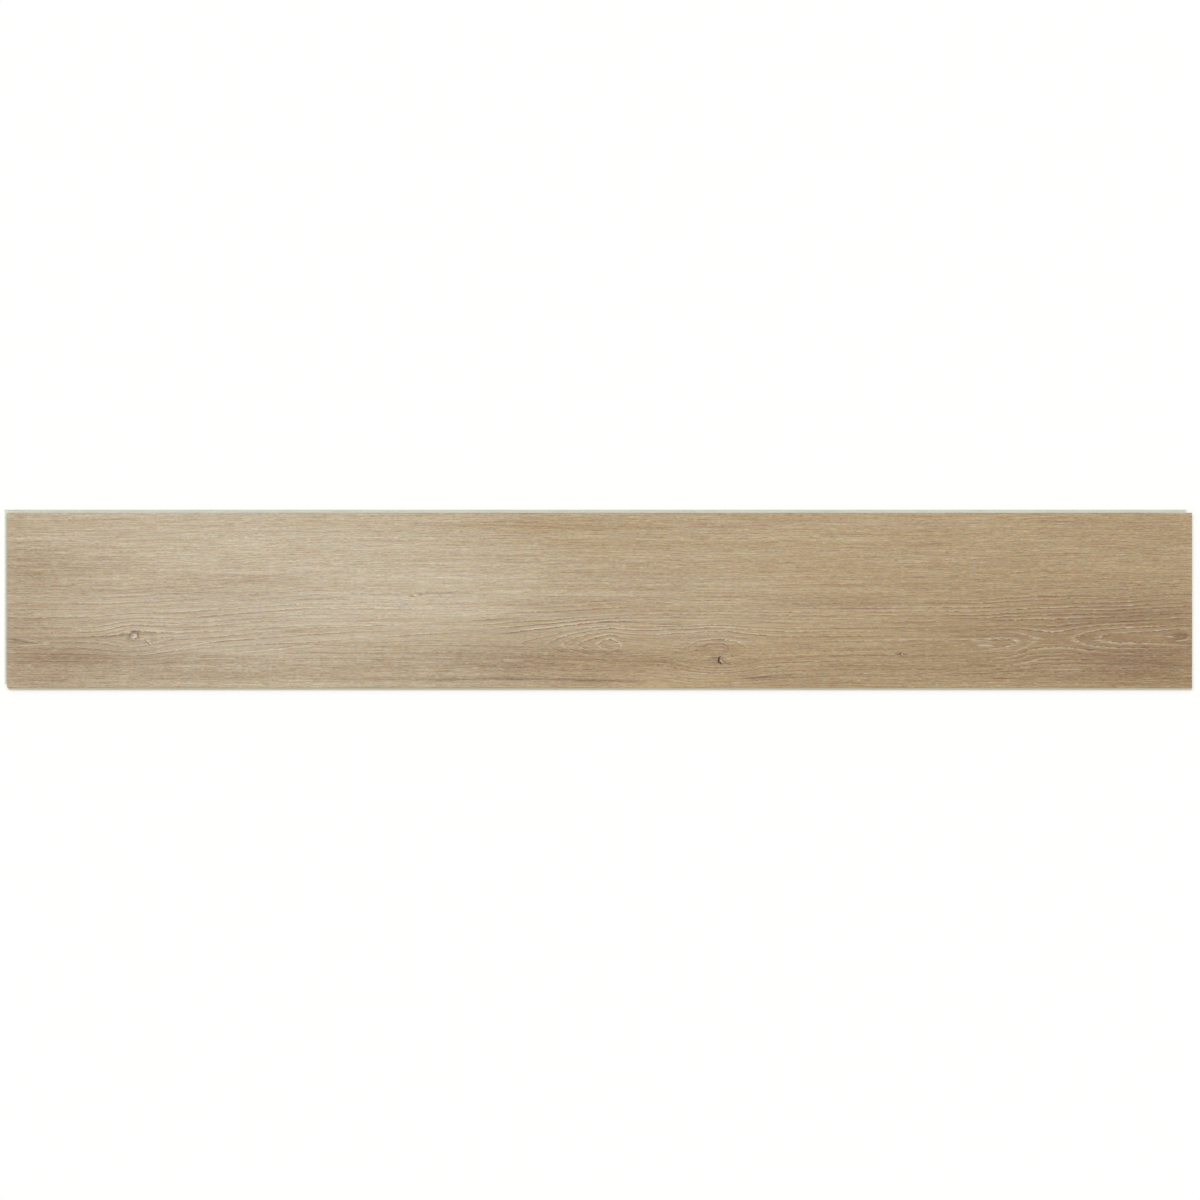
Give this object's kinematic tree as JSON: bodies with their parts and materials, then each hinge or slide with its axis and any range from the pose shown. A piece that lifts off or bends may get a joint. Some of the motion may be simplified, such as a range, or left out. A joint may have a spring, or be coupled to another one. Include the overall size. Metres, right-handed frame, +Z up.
{
  "type": "vinyl floor plank",
  "caption": "Long flat click floor plank: an oak-look printed vinyl sheet on a pale rigid core, with a tongue, a grooved lip and fold-down end hooks milled in its edges.",
  "frame": {"origin": "middle of the plank's whole outline, on its underside", "axes": "+X along the plank to the fold-down end, +Y across it to the side with the lower lip, +Z up out of the printed face"},
  "size_m": [1.2228, 0.1852, 0.005],
  "materials": {
    "printed_vinyl": "oak-look print under a clear, low-sheen wear layer with fine embossed grain",
    "rigid_core": "pale grey-cream filled vinyl, extruded flat and milled at its edges"
  },
  "bodies": {
    "root": {"printed_vinyl_sheet": "printed_vinyl", "rigid_core": "rigid_core"}
  },
  "joints": []
}
